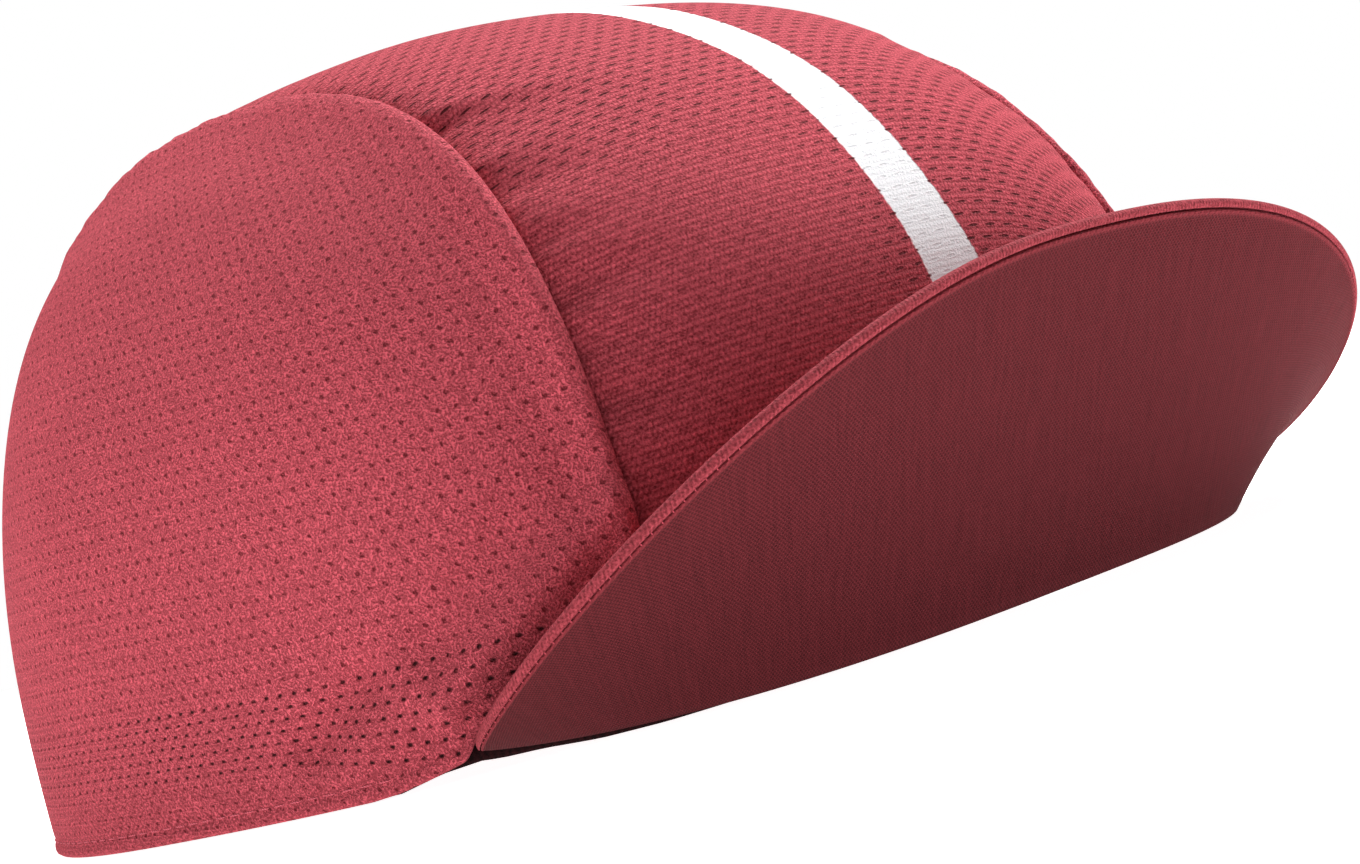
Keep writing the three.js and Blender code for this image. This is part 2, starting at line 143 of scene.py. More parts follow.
# Peak, as in the solids
PEAK_LENGTH = 49.5
PEAK_HALF_SPAN = math.radians(56.2)
PEAK_USED_SPAN = 0.988
PEAK_OUTLINE = {"flatness": 3.1, "roundness": 0.78}
PEAK_LEAN = {"middle": 25.3, "sides": 27.7, "ends": 28.4}
PEAK_STANDOFF = 0.65
PEAK_BASE_HEIGHT = {"middle": 0.1, "ends": 2.9, "steepness": 5}
COVER_CLOTH = 1.2
COVER_GAP = 0.3
PEAK_THICKNESS = 2 * COVER_CLOTH + COVER_GAP
ROLL_RADIUS = PEAK_THICKNESS / 2
DITCH_WIDTH = 0.3
TUCK_START = 2
TUCK_HEIGHT = 13
TUCK_FADE = 0.15
TUCK_CLEARANCE = 0.5

# How far the crown's hem and the band's lower edge rise near the peak's corner, against the
# distance along the rim from that corner in mm, negative under the peak
HEM_RISE = {
    "distance": [-90, -45, -8, 0.6, 2.1, 3.3, 4.6, 7.6, 10.5, 15.0, 19.0],
    "rise": [1.2, 2.2, 5.0, 6.2, 5.0, 3.2, 2.05, 1.45, 0.9, 0.25, 0.0],
}
HEM_RISE_REACH = 11
BAND_RISE = {
    "distance": [-100, -22, -13, -5.5, 0, 3, 9, 16],
    "rise": [0.0, 0.1, 0.4, 1.1, 1.3, 1.6, 1.2, 0.0],
}

# Edge of the peak: the covers get thinner towards it, and the roll ends in a narrow ditch
EDGE_TAPER = 9
EDGE_THINNESS = {"middle": 0.6, "corners": 0.5}
CORNER_LENGTH = 30
DITCH_SHARE = 1.32
LIP_WIDTH = 0.8
LIP_PROUD = 0.22

# Threads across the ditch: pitch, half length and half width of one, thread radius, and the peak's
# lengths between which they show
EDGE_STITCH = {"pitch": 1.75, "half_length": 0.32, "half_width": 0.52, "radius": 0.1, "margin": 1.2}
EDGE_STITCH_PLACE = (8, 40)

# Grid of a thread
THREAD_SIDES = 6
THREAD_RINGS = 7

# Knit of the side panels: cells, and the open rows above the hem, which are closer behind than in
# front. u is the place along the hem from the side's middle, towards the front.
EYELET_PITCH = 2.5
ROW_PITCH = 2.1
OPEN_ROWS = 7
TOP_OPEN_ROW = {"behind": 17.6, "in_front": 15.4, "start": -30, "reach": 75}
OPEN_ROW_PITCH = {"behind": 1.4, "in_front": 2.05, "start": 15, "reach": 42}

# Knit of the centre panel: cells of its dashes, and how their rows slant, bow and bend
DASH_PITCH = 3.6
DASH_ROW_PITCH = 1.95
DASH_SKEW = 0.16
DASH_BOW = 0.0035
DASH_BEND = 0.0001
STRIPE_HALF_WIDTH = 5.35

# Weave of the under cover
DOT_PITCH = 0.71

# Grid sizes of the dressed pieces
CENTRE_GRID = (301, 131)
SIDE_GRID = (230, 130)
BAND_GRID = 320
BAND_HEIGHTS = [0, 0.4, 1.2, 2.8, 5, 8, 12, 16, 18.4, BAND_HEIGHT]
PEAK_COLUMNS = 260
TABLE_STEPS = {"around": 240, "climb": 120}

# Colours as screen values
BRIGHT_RED = (222, 95, 108)
DEEP_RED = (112, 34, 41)
DARK_RED = (58, 15, 19)
HOLE = (14, 5, 6)
WHITE_YARN = (236, 243, 245)
GREY_YARN = (176, 178, 184)
WEAVE_COLOURS = ((60, 18, 22), (116, 42, 48))
# Painted highlight along the under cover's lip
WEAVE_LIP_HIGHLIGHT = (158, 60, 68)
EDGING_COLOURS = ((88, 26, 31), (186, 76, 86))
# Band colours: dark cloth painted near-black as the shade of the strip under the peak's base
BAND_SHADE_COLOURS = ((14, 4, 5), (44, 14, 17))
PINK_THREAD = ((176, 70, 82), (226, 112, 126))
RED_THREAD = ((110, 34, 42), (182, 70, 82))

# Camera: turns, distance and target in mm round the rim's middle, and focal length in the photo's pixels
VIEW_TURN = math.radians(-44.99)
VIEW_RISE = math.radians(-0.70)
VIEW_ROLL = math.radians(-16.30)
VIEW_DISTANCE = 441.47
VIEW_FOCAL = 2875.37
VIEW_TARGET = (17.29, 34.68)
PHOTO_WIDTH = 1360
SENSOR_WIDTH = 36

# Lights: direction, size in metres and power
LIGHTS = {
    "key": {"direction": (0.7, 0, 0.8), "size": 0.7, "power": 29},
    "top": {"direction": (0.3, 0.3, 1), "size": 0.4, "power": 16},
    "side": {"direction": (-0.9, 0.5, 0.1), "size": 0.7, "power": 11},
    "front": {"direction": (-0.5, -0.85, 0.1), "size": 0.5, "power": 3},
}
LIGHT_DISTANCE = 1.3
LIGHT_TARGET = (0, 0, 0.045)
WORLD_LIGHT = 0.05
FLOOR_HALF_SIZE = 3.0
FLOOR_DEPTH = 0.0003
FLOOR_GLOW = 0.95

QUARTER = math.pi / 2
MM = 0.001
shift_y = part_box("centre_panel")[1].y / MM - BACK_REACH


def mix(a, b, share):
    return a + (b - a) * share


def smooth(value):
    value = np.clip(value, 0, 1)
    return value * value * (3 - 2 * value)


def squared_circle(angle, squareness):
    across, up = np.cos(angle), np.sin(angle)
    size = (np.abs(across) ** squareness + np.abs(up) ** squareness) ** (-1 / squareness)
    return across * size, up * size


def rim_plan(around):
    share = smooth((1 + np.sin(around)) / 2)
    squareness = mix(RIM_SQUARENESS["back"], RIM_SQUARENESS["front"], share)
    across, forward = squared_circle(around, squareness)
    reach = np.where(around > 0, FRONT_REACH, BACK_REACH)
    return HALF_WIDTH * across, -reach * forward


def profile_squareness(around):
    end = np.where(around > 0, PROFILE_SQUARENESS["front"], PROFILE_SQUARENESS["back"])
    return mix(PROFILE_SQUARENESS["side"], end, np.sin(around) ** 2)


def dome(side, around, climb):
    """Points of the dome. side is -1 on the wearer's right and 1 on the left."""
    spread, up = squared_circle(climb, profile_squareness(around))
    x, y = rim_plan(around)
    parts = (side * x * spread, y * spread + TOP_SETBACK * (1 - spread), CROWN_HEIGHT * up)
    return np.stack(np.broadcast_arrays(*parts), -1)


# Tables that turn a place in plan into the angle around
table_around = np.linspace(-QUARTER, QUARTER, 6001)
table_x, table_y = rim_plan(table_around)
table_bearing = np.arctan2(-(table_y - TOP_SETBACK), table_x)


def over_plan(x, y):
    """Angle around and climb over a place in plan."""
    bearing = np.arctan2(-(y - TOP_SETBACK), np.abs(x))
    around = np.interp(bearing, table_bearing, table_around)
    rim_x, rim_y = rim_plan(around)
    spread = np.hypot(x, y - TOP_SETBACK) / np.hypot(rim_x, rim_y - TOP_SETBACK)
    spread = np.clip(spread, 0, 1)
    squareness = profile_squareness(around)
    up = (1 - spread ** squareness) ** (1 / squareness)
    return around, np.arctan2(up, spread)


def rim_y(x, front):
    half = table_around >= 0 if front else table_around <= 0
    order = np.argsort(table_x[half])
    return np.interp(np.abs(x), table_x[half][order], table_y[half][order])


def panel_half_width(along):
    shares = [np.asarray(share, float) for share in SEAM_STEERING]
    while len(shares) > 1:
        shares = [mix(a, b, along) for a, b in zip(shares, shares[1:])]
    return PANEL_HALF_WIDTH * shares[0]


def panel_plan(along, across, inset):
    front = rim_y(across * (panel_half_width(0.0) - inset), True)
    back = rim_y(across * (panel_half_width(1.0) - inset), False)
    return across * (panel_half_width(along) - inset), mix(front, back, along)


def lengthwise(count):
    """Shares from the front rim to the back rim, closer together where the wall is steep."""
    step = np.linspace(-1, 1, count)
    step = np.sign(step) * (1 - (1 - np.abs(step)) ** 1.35)
    return (1 + np.sin(step * QUARTER)) / 2


def peak_share(around):
    """0 at the middle of the peak and 1 at the end of its span."""
    return (QUARTER - around) / PEAK_HALF_SPAN


def peak_lean(share):
    lean = PEAK_LEAN["middle"] + PEAK_LEAN["sides"] * share**2 + PEAK_LEAN["ends"] * share**4
    return np.radians(lean)


def hem_tuck(around, height):
    """How far the crown's wall moves in to make room for the peak's base."""
    share = peak_share(around)
    behind = PEAK_THICKNESS * np.cos(peak_lean(np.minimum(share, 1)))
    depth = np.maximum(behind - PEAK_STANDOFF + TUCK_CLEARANCE, 0)
    rise = 1 - smooth((height - TUCK_START) / TUCK_HEIGHT)
    return depth * (1 - smooth((share - 1) / TUCK_FADE)) * rise


def soft_fold_lift(around, height):
    arc = (HALF_WIDTH + FRONT_REACH) / 2
    here = np.stack(np.broadcast_arrays(around * arc, height), -1)
    lift = np.zeros(here.shape[:-1])
    for fold in SOFT_FOLDS:
        start = np.array([fold["around"] * QUARTER * arc, fold["height"] * CROWN_HEIGHT])
        end = np.array([fold["to_around"] * QUARTER * arc, fold["to_height"] * CROWN_HEIGHT])
        run = end - start
        share = np.clip((here - start) @ run / (run @ run), 0, 1)
        distance = np.linalg.norm(here - (start + share[..., None] * run), axis=-1)
        lift += fold["proud"] * np.exp(-((distance / (fold["width"] * SOFT_FOLD_SPREAD)) ** 2))
    return SOFT_FOLD_RELIEF * lift * smooth(height / CALM_HEM)


def waves(value, pairs):
    """A sum of sines: each pair is a wave length and a size."""
    phase = 1.7
    turns = [2 * math.pi * value / length + phase * k for k, (length, size) in enumerate(pairs)]
    return sum(size * np.sin(turn) for turn, (length, size) in zip(turns, pairs))


def grid_normals(points):
    """Outward normals of a grid of points on the crown."""
    down, along = np.gradient(points, axis=0), np.gradient(points, axis=1)
    normal = np.cross(down, along)
    normal /= np.maximum(np.linalg.norm(normal, axis=-1, keepdims=True), 1e-9)
    outward = points - np.array([0, TOP_SETBACK / 2, CROWN_HEIGHT / 3])
    return normal * np.sign((normal * outward).sum(-1, keepdims=True))


def arc_lengths(points, axis):
    steps = np.linalg.norm(np.diff(points, axis=axis), axis=-1)
    start = np.zeros_like(np.take(steps, [0], axis))
    return np.concatenate([start, np.cumsum(steps, axis)], axis)


# Tables of arc length over the dome: across from the side's middle, and up from the hem
arc_around = np.linspace(-QUARTER, QUARTER, TABLE_STEPS["around"] + 1)
arc_climb = np.linspace(0, QUARTER, TABLE_STEPS["climb"] + 1)
arc_points = dome(1, arc_around[:, None], arc_climb[None, :])
arc_across = arc_lengths(arc_points, 0)
arc_middle = TABLE_STEPS["around"] // 2
arc_across = arc_across - arc_across[arc_middle : arc_middle + 1]
arc_up = arc_lengths(arc_points, 1)


def from_table(table, around, climb):
    """Looks up a table at places between its entries."""
    wide, high = TABLE_STEPS["around"], TABLE_STEPS["climb"]
    a = np.clip((around + QUARTER) / (2 * QUARTER) * wide, 0, wide - 0.001)
    c = np.clip(climb / QUARTER * high, 0, high - 0.001)
    i, j = a.astype(int), c.astype(int)
    a, c = a - i, c - j
    low = mix(table[i, j], table[i + 1, j], a)
    return mix(low, mix(table[i, j + 1], table[i + 1, j + 1], a), c)


def rim_distance(around):
    """Distance along the rim from the peak's corner, negative under the peak."""
    corner = np.float64(QUARTER - PEAK_USED_SPAN * PEAK_HALF_SPAN)
    return from_table(arc_across, corner, 0 * corner) - from_table(arc_across, around, 0 * around)


def hem_raise(around, height, rise=HEM_RISE, rise_reach=HEM_RISE_REACH):
    raised = np.interp(rim_distance(around), rise["distance"], rise["rise"])
    return raised * (1 - smooth(height / rise_reach))


def tucked(points, normal, around, lift, rise=HEM_RISE, rise_reach=HEM_RISE_REACH):
    """Moves base points out by lift, and in and up where the hem is tucked under the peak."""
    flat = normal * [1, 1, 0]
    flat /= np.maximum(np.linalg.norm(flat, axis=-1, keepdims=True), 1e-9)
    moved = points - flat * hem_tuck(around, points[..., 2])[..., None] + normal * lift[..., None]
    moved[..., 2] += hem_raise(around, points[..., 2], rise, rise_reach)
    return moved


def grid_faces(rows, columns, base=0, flip=False, closed=False):
    """Four-cornered faces of a grid of points. closed joins the last column to the first."""
    index = base + np.arange(rows * columns).reshape(rows, columns)
    if closed:
        index = np.concatenate([index, index[:, :1]], 1)
    quads = np.stack([index[:-1, :-1], index[1:, :-1], index[1:, 1:], index[:-1, 1:]], -1)
    quads = quads.reshape(-1, 4)
    return quads[:, ::-1] if flip else quads


def make_object(name, points, faces, uvs=None, material=None):
    """A mesh object from points in mm. uvs maps a layer's name to a pair for each point."""
    mesh = bpy.data.meshes.new(name)
    points = np.asarray(points, float).reshape(-1, 3) * MM
    points[:, 1] += shift_y * MM
    mesh.from_pydata(points.tolist(), [], [list(map(int, face)) for face in faces])
    loops = np.empty(len(mesh.loops), int)
    mesh.loops.foreach_get("vertex_index", loops)
    for layer_name, values in (uvs or {}).items():
        layer = mesh.uv_layers.new(name=layer_name)
        pairs = np.asarray(values, float).reshape(-1, 2)
        layer.data.foreach_set("uv", pairs[loops].ravel())
    mesh.validate()
    mesh.update()
    mesh.shade_smooth()
    made = bpy.data.objects.new(name, mesh)
    bpy.context.collection.objects.link(made)
    if material:
        mesh.materials.append(material)
    return made


def sheet_object(name, outer, inner, uvs, material):
    """A closed sheet between an outer and an inner grid of points."""
    rows, columns = outer.shape[:2]
    count = rows * columns
    faces = [grid_faces(rows, columns), grid_faces(rows, columns, count, flip=True)]
    index = np.arange(count).reshape(rows, columns)
    rims = [index[0], index[-1][::-1], index[:, 0][::-1], index[:, -1]]
    for rim in rims:
        faces.append(np.stack([rim[:-1], rim[1:], rim[1:] + count, rim[:-1] + count], -1))
    doubled = {key: np.concatenate([value.reshape(-1, 2)] * 2) for key, value in uvs.items()}
    points = np.concatenate([outer.reshape(-1, 3), inner.reshape(-1, 3)])
    made = make_object(name, points, np.concatenate(faces), doubled, material)
    if signed_volume(made) < 0:
        made.data.flip_normals()
    return made


def signed_volume(made):
    mesh = made.data
    mesh.calc_loop_triangles()
    points = np.array([v.co for v in mesh.vertices])
    a, b, c = (points[[t.vertices[k] for t in mesh.loop_triangles]] for k in range(3))
    return float((a * np.cross(b, c)).sum())


# Parts of the crown's relief, each measured out from the dome
def hem_lift(above):
    """Relief of the hem, against the distance above it."""
    turn = np.clip(1 - above / HEM_TURN, 0, 1)
    edge = -HEM_TURN * 0.6 * (1 - np.sqrt(1 - turn**2))
    pad_end = HEM_STITCH_HEIGHT + HEM_PAD_FADE["start"]
    pad = HEM_PAD * smooth((pad_end - above) / HEM_PAD_FADE["width"])
    from_line = (above - HEM_STITCH_HEIGHT) / HEM_GROOVE["width"]
    groove = -HEM_GROOVE["depth"] * np.exp(-(from_line**2))
    return edge + pad + groove


def profile(table, distance):
    return np.interp(distance, table["distance"], table["proud"])


def gather_sink(from_seam, height):
    sink = np.zeros_like(height)
    for gather in GATHERS:
        middle = gather["height"] + gather["drop"] * from_seam / gather["reach"]
        off = np.abs(height - middle) / gather["width"]
        sink += gather["depth"] * np.exp(-(off**1.7)) * (1 - smooth(from_seam / gather["reach"]))
    return sink


def crease_sink(u, v, from_seam):
    """Depth of the step along the crease, with u across and v from the front rim."""
    ahead = CREASE["back"] - CREASE["slope"] * (CREASE["half_width"] - np.abs(u)) - v
    ahead = np.maximum(ahead, 0)
    step = 1 - np.exp(-((ahead / CREASE["drop"]) ** CREASE["sharpness"]))
    step = step * np.exp(-ahead / CREASE["recovery"])
    return CREASE["depth"] * step * np.exp(-((from_seam / CREASE["reach"]) ** 2))


def seam_allowance(from_seam, height):
    """How much further in the cloth's inner face reaches along a seam."""
    share = smooth((height - SEAM_ALLOWANCE["from_height"]) / SEAM_ALLOWANCE["fade"])
    return SEAM_ALLOWANCE["depth"] * np.exp(-((from_seam / SEAM_ALLOWANCE["width"]) ** 2)) * share


def from_behind(change, u):
    """A value that changes along the hem, from one behind to another in front."""
    return mix(change["behind"], change["in_front"], smooth((u - change["start"]) / change["reach"]))


def eyelet_rows(u, above):
    """Row numbers of the eyelets counted down from the top open row, with u towards the front."""
    top = from_behind(TOP_OPEN_ROW, u)
    pitch = np.where(above < top, from_behind(OPEN_ROW_PITCH, u), ROW_PITCH)
    return (top - above) / pitch


def make_centre_panel(material):
    rows, columns = CENTRE_GRID
    middle = columns // 2
    along = lengthwise(rows)[:, None]
    across = np.linspace(-1, 1, columns)[None, :]
    x, y = panel_plan(along, across, SEAM_GAP / 2)
    around, climb = over_plan(x, y)
    base = dome(np.where(x < 0, -1.0, 1.0), around, climb)
    normal = grid_normals(base)
    u = arc_lengths(base, 1)
    u = u - u[:, middle : middle + 1]
    from_seam = np.minimum(u - u[:, :1], u[:, -1:] - u)
    down = arc_lengths(base, 0)
    above = np.minimum(down, down[-1:] - down)
    v = np.broadcast_to(down[:, middle : middle + 1], u.shape)
    height = base[..., 2]
    seam_run = np.broadcast_to(down[:, :1], u.shape)
    near_side = mix(FAR_GATHER_SHARE, 1, smooth((10 - x) / 20))
    from_hem = above / CALM_ABOVE_HEM["seam"]
    pucker = waves(seam_run + 40 * (across > 0), PUCKERS) * np.exp(-from_seam / PUCKER_REACH)
    lift = profile(DITCH_PROFILE, from_seam) * np.clip(from_hem, 0, 1)
    lift = lift + pucker * smooth(from_hem) * near_side
    gather_share = np.where(y < TOP_SETBACK, GATHER_SHARE["front"], GATHER_SHARE["back"])
    lift = lift - gather_share * near_side * gather_sink(from_seam, height)
    lift = lift - near_side * crease_sink(u, v, from_seam)
    lift = lift + waves(v + 0.3 * u, CENTRE_WAVES) * smooth(above / CALM_ABOVE_HEM["waves"])
    outer = tucked(base, normal, around, lift + hem_lift(above))
    inner = tucked(base, normal, around, lift - CLOTH - seam_allowance(from_seam, height))
    far = np.maximum(u, 0)
    row = v + DASH_BOW * far**2 + DASH_BEND * far**3
    uvs = {
        "cloth": np.stack([u, v], -1) * MM,
        "eyelets": np.stack([(u - DASH_SKEW * row) / DASH_PITCH, row / DASH_ROW_PITCH], -1),
    }
    return sheet_object("centre_panel_cloth", outer, inner, uvs, material)


def side_columns(side, columns, rows):
    """Angle around and climb over a side panel's grid, columns from front to back and rows down,
    with the distance from the seam and each column's whole length. The rows are closer together
    by the seam and by the hem."""
    along = lengthwise(columns + 2)[1:-1]
    seam_around, seam_climb = over_plan(*panel_plan(along, 1.0, -SEAM_GAP / 2))
    ends = [over_plan(*panel_plan(end, 1.0, -SEAM_GAP / 2))[0] for end in (0.0, 1.0)]
    seam_height = dome(1, seam_around, seam_climb)[..., 2]
    turn = np.arctan2(2 * seam_height / CROWN_HEIGHT, 2 - 4 * along)
    foot = mix(ends[0], ends[1], turn / math.pi)
    fine = np.linspace(1, 0, 500)
    climb = seam_climb[:, None] * fine
    around = mix(foot[:, None], seam_around[:, None], fine)
    length = arc_lengths(dome(side, around, climb), 1)
    step = np.linspace(0, 1, rows)
    weight = 1 - 0.75 * np.exp(-step / 0.07) - 0.45 * np.exp(-(1 - step) / 0.12)
    share = np.concatenate([[0], np.cumsum(weight[1:])])
    share /= share[-1]
    total = length[:, -1:]
    picked = np.stack([np.interp(share * run[-1], run, fine) for run in length])
    climb = seam_climb[:, None] * picked
    around = mix(foot[:, None], seam_around[:, None], picked)
    return around, climb, share * total, total


def make_side_panel(name, side, material):
    columns, rows = SIDE_GRID
    around, climb, from_seam, total = side_columns(side, columns, rows)
    base = dome(side, around, climb)
    normal = grid_normals(base)
    u = from_table(arc_across, around, climb)
    v = from_table(arc_up, around, climb)
    height = base[..., 2]
    seam_run = arc_lengths(base[:, :1], 0)
    fade = np.clip((total - 2) / 12, 0, 1)
    fold = profile(FOLD_PROFILE, from_seam) * fade
    fold = fold * (1 + waves(seam_run, FOLD_WAVES)) * (FAR_FOLD if side > 0 else 1)
    lift = fold + soft_fold_lift(around, height)
    lift = lift + waves(u * 0.8 + v * 0.5, SIDE_WAVES) * smooth(v / CALM_ABOVE_HEM["waves"])
    outer = tucked(base, normal, around, lift + hem_lift(v))
    inner = tucked(base, normal, around, lift - fold - CLOTH - seam_allowance(from_seam, height))
    row_height = v + hem_raise(around, height)
    uvs = {
        "cloth": np.stack([u, v], -1) * MM,
        "eyelets": np.stack([u / EYELET_PITCH, eyelet_rows(u, row_height)], -1),
        "seam": np.stack(np.broadcast_arrays(seam_run, from_seam), -1) * MM,
    }
    return sheet_object(name, outer, inner, uvs, material)


def climb_at_height(around, height):
    squareness = float(profile_squareness(np.float64(around)))
    up = min(height / CROWN_HEIGHT, 1)
    return math.atan2(up, (1 - up**squareness) ** (1 / squareness))


def loop_normals(points):
    """Outward normals of a grid whose rows close on themselves."""
    wide = np.concatenate([points[:, -1:], points, points[:, :1]], 1)
    return grid_normals(wide)[:, 1:-1]


def make_sweatband(material):
    """The band inside the hem, whose front edge shows as a strip under the peak's base, painted near-black
    for the shade there.
    """
    turn = np.arange(BAND_GRID) / BAND_GRID * 4
    side = np.where((turn < 1) | (turn >= 3), -1.0, 1.0)
    around = (np.abs((turn + 3) % 4 - 2) - 1) * QUARTER
    heights = np.array(BAND_HEIGHTS)
    climb = np.array([[climb_at_height(a, h) for a in around] for h in heights])
    base = dome(side[None, :], around[None, :], climb)
    normal = loop_normals(base)
    sag = BAND_SLACK * np.minimum(soft_fold_lift(around[None, :], base[..., 2]), 0)
    rounding = 0.35 * (1 - np.clip(heights[:, None] / 1.2, 0, 1)) ** 2
    outside = CLOTH + BAND_CLEARANCE
    around_grid = around[None, :] + 0 * base[..., 0]
    layers = []
    for depth, sign in ((outside, -1), (outside + BAND_CLOTH, 1)):
        lift = sag - depth + sign * rounding
        layers.append(tucked(base, normal, around_grid, lift, BAND_RISE, BAND_HEIGHT))
    grid = np.concatenate([layers[0], layers[1][::-1]])
    rows, columns = grid.shape[:2]
    faces = grid_faces(rows, columns, closed=True)
    bottom = np.arange(columns)
    after = np.roll(bottom, -1)
    last = (rows - 1) * columns
    faces = np.concatenate([faces, np.stack([last + bottom, bottom, after, last + after], -1)])
    run = arc_lengths(np.concatenate([base[:1], base[:1, :1]], 1), 1)[:, :-1]
    u = np.broadcast_to(run, (rows, columns))
    v = np.concatenate([heights, heights[::-1] + 40])[:, None] + 0 * u
    made = make_object("sweatband_cloth", grid, faces, {"cloth": np.stack([u, v], -1) * MM}, material)
    if signed_volume(made) < 0:
        made.data.flip_normals()
    return made


def peak_frames(count):
    """Places along the peak's base, each with the way up, the way out of the face and its length."""
    share = PEAK_USED_SPAN * np.sin(np.linspace(-1, 1, count) * QUARTER)
    side, size = np.where(share < 0, -1.0, 1.0), np.abs(share)
    around = QUARTER - size * PEAK_HALF_SPAN
    rim = dome(side, around, 0 * around)
    nudge = 1e-4
    tangent = dome(side, around + nudge, 0 * around) - dome(side, around - nudge, 0 * around)
    out = np.cross(tangent, [0, 0, 1.0]) * side[:, None]
    out /= np.linalg.norm(out, axis=-1, keepdims=True)
    out *= np.sign((out * (rim - [0, TOP_SETBACK, 0])).sum(-1, keepdims=True))
    lean = peak_lean(size)[:, None]
    base = rim + out * PEAK_STANDOFF
    climb = PEAK_BASE_HEIGHT["ends"] * size ** PEAK_BASE_HEIGHT["steepness"]
    base[:, 2] = PEAK_BASE_HEIGHT["middle"] + climb
    up = np.array([0, 0, 1.0])
    rise = out * np.sin(lean) + up * np.cos(lean)
    face = out * np.cos(lean) - up * np.sin(lean)
    length = PEAK_LENGTH * (1 - size ** PEAK_OUTLINE["flatness"]) ** PEAK_OUTLINE["roundness"]
    return base, rise, face, length


def sweep_peak(name, section_at, material):
    """Carries a closed section, given as length up and depth behind the face, along the peak."""
    base, rise, face, length = peak_frames(PEAK_COLUMNS)
    run = arc_lengths(base + rise * length[:, None], 0)
    grid, pairs, edges = [], [], []
    for k in range(PEAK_COLUMNS):
        section = section_at(length[k])
        grid.append(base[k] + section[:, :1] * rise[k] - section[:, 1:] * face[k])
        steps = np.linalg.norm(np.diff(section, axis=0), axis=1)
        place = np.full(len(section), run[k])
        pairs.append(np.stack([place, np.concatenate([[0], np.cumsum(steps)])], -1))
        edges.append(np.stack([place, length[k] - section[:, 0]], -1))
    grid, pairs, edges = np.array(grid), np.array(pairs), np.array(edges)
    rows, columns = grid.shape[:2]
    faces = grid_faces(rows, columns, closed=True).tolist()
    faces.append(list(range(columns)))
    faces.append([(rows - 1) * columns + k for k in range(columns)][::-1])
    made = make_object(name, grid, faces, {"cloth": pairs * MM, "edge": edges * MM}, material)
    if signed_volume(made) < 0:
        made.data.flip_normals()
    return made


def edge_thinness(length):
    return mix(EDGE_THINNESS["corners"], EDGE_THINNESS["middle"], smooth(length / CORNER_LENGTH))


def thinned(up, depth, length):
    """Depths behind the face, less towards the edge of the peak."""
    taper = smooth(1 - (length - up) / EDGE_TAPER)
    return depth * mix(1, edge_thinness(length), taper)


def ditch_place(length):
    """How far below the peak's edge the roll ends."""
    return min(DITCH_SHARE * ROLL_RADIUS * edge_thinness(length), length * 0.45)


def under_cover_section(length):
    """Face with its lip, rounded upper corner and back of the under cover."""
    top = length - ditch_place(length) - DITCH_WIDTH
    share = np.concatenate([np.linspace(0, 0.9, 34) ** 0.9, np.linspace(0.92, 1, 14)])
    up = share * top
    from_edge = up[-1] - up
    lip = LIP_PROUD * np.exp(-(((from_edge - LIP_WIDTH * 0.5) / (LIP_WIDTH * 0.42)) ** 2))
    lip = lip * smooth(length / 10)
    front = np.stack([up, -lip], -1)
    angles = np.radians([25, 50, 75, 90])
    corner = np.stack([up[-1] + 0 * angles, 0.4 * (1 - np.cos(angles)) - lip[-1]], -1)
    back_up = np.linspace(up[-1], 0, 8)
    back = np.stack([back_up, thinned(back_up, COVER_CLOTH, length)], -1)
    return np.concatenate([front, corner, back])


def top_cover_section(length):
    """Back, roll over the edge and inner face of the top cover."""
    radius = ROLL_RADIUS * edge_thinness(length)
    close = ditch_place(length)
    centre = length - radius
    end = math.pi - math.acos(np.clip((close - radius) / radius, -1, 1))
    angles = np.linspace(-QUARTER, end, 26)
    roll = np.stack([centre + radius * np.cos(angles), radius - radius * np.sin(angles)], -1)
    back_up = np.linspace(0, centre, 26)[:-1]
    back = np.stack([back_up, thinned(back_up, PEAK_THICKNESS, length)], -1)
    inner_up = np.linspace(roll[-1][0], 0, 9)
    inner = np.stack([inner_up, thinned(inner_up, COVER_CLOTH + COVER_GAP, length)], -1)
    base = [[0, (COVER_CLOTH + COVER_GAP + PEAK_THICKNESS) / 2]]
    ditch = [[roll[-1][0], mix(roll[-1][1], inner[0][1], 0.5)]]
    return np.concatenate([base, back, roll, ditch, inner])


# Shader arithmetic: a Value is a socket, and sums and products of Values add math nodes
class Value:
    def __init__(self, tree, socket):
        self.tree = tree
        self.socket = socket

    def __add__(self, other):
        return combine(self.tree, "ADD", self, other)

    def __sub__(self, other):
        return combine(self.tree, "SUBTRACT", self, other)

    def __mul__(self, other):
        return combine(self.tree, "MULTIPLY", self, other)

    def __truediv__(self, other):
        return combine(self.tree, "DIVIDE", self, other)

    def __rsub__(self, other):
        return combine(self.tree, "SUBTRACT", other, self)

    def power(self, other):
        return combine(self.tree, "POWER", self, other)

    def absolute(self):
        return combine(self.tree, "ABSOLUTE", self)

    def rounded(self):
        return combine(self.tree, "ROUND", self)

    def sine(self):
        return combine(self.tree, "SINE", self)

    def odd(self):
        """1 for odd whole numbers and 0 for even ones."""
        return combine(self.tree, "PINGPONG", self, 1)

    def ramp(self, low, high):
        """0 below low and 1 above high, smoothly."""
        node = self.tree.nodes.new("ShaderNodeMapRange")
        node.interpolation_type = "SMOOTHSTEP"
        feed(self.tree, node.inputs["Value"], self)
        feed(self.tree, node.inputs["From Min"], low)
        feed(self.tree, node.inputs["From Max"], high)
        return Value(self.tree, node.outputs["Result"])


def feed(tree, socket, value):
    """Links a Value to a socket, or sets the socket to a plain number or colour."""
    if isinstance(value, Value):
        tree.links.new(value.socket, socket)
    else:
        socket.default_value = value


def combine(tree, operation, *values):
    node = tree.nodes.new("ShaderNodeMath")
    node.operation = operation
    for socket, value in zip(node.inputs, values):
        feed(tree, socket, value)
    return Value(tree, node.outputs[0])


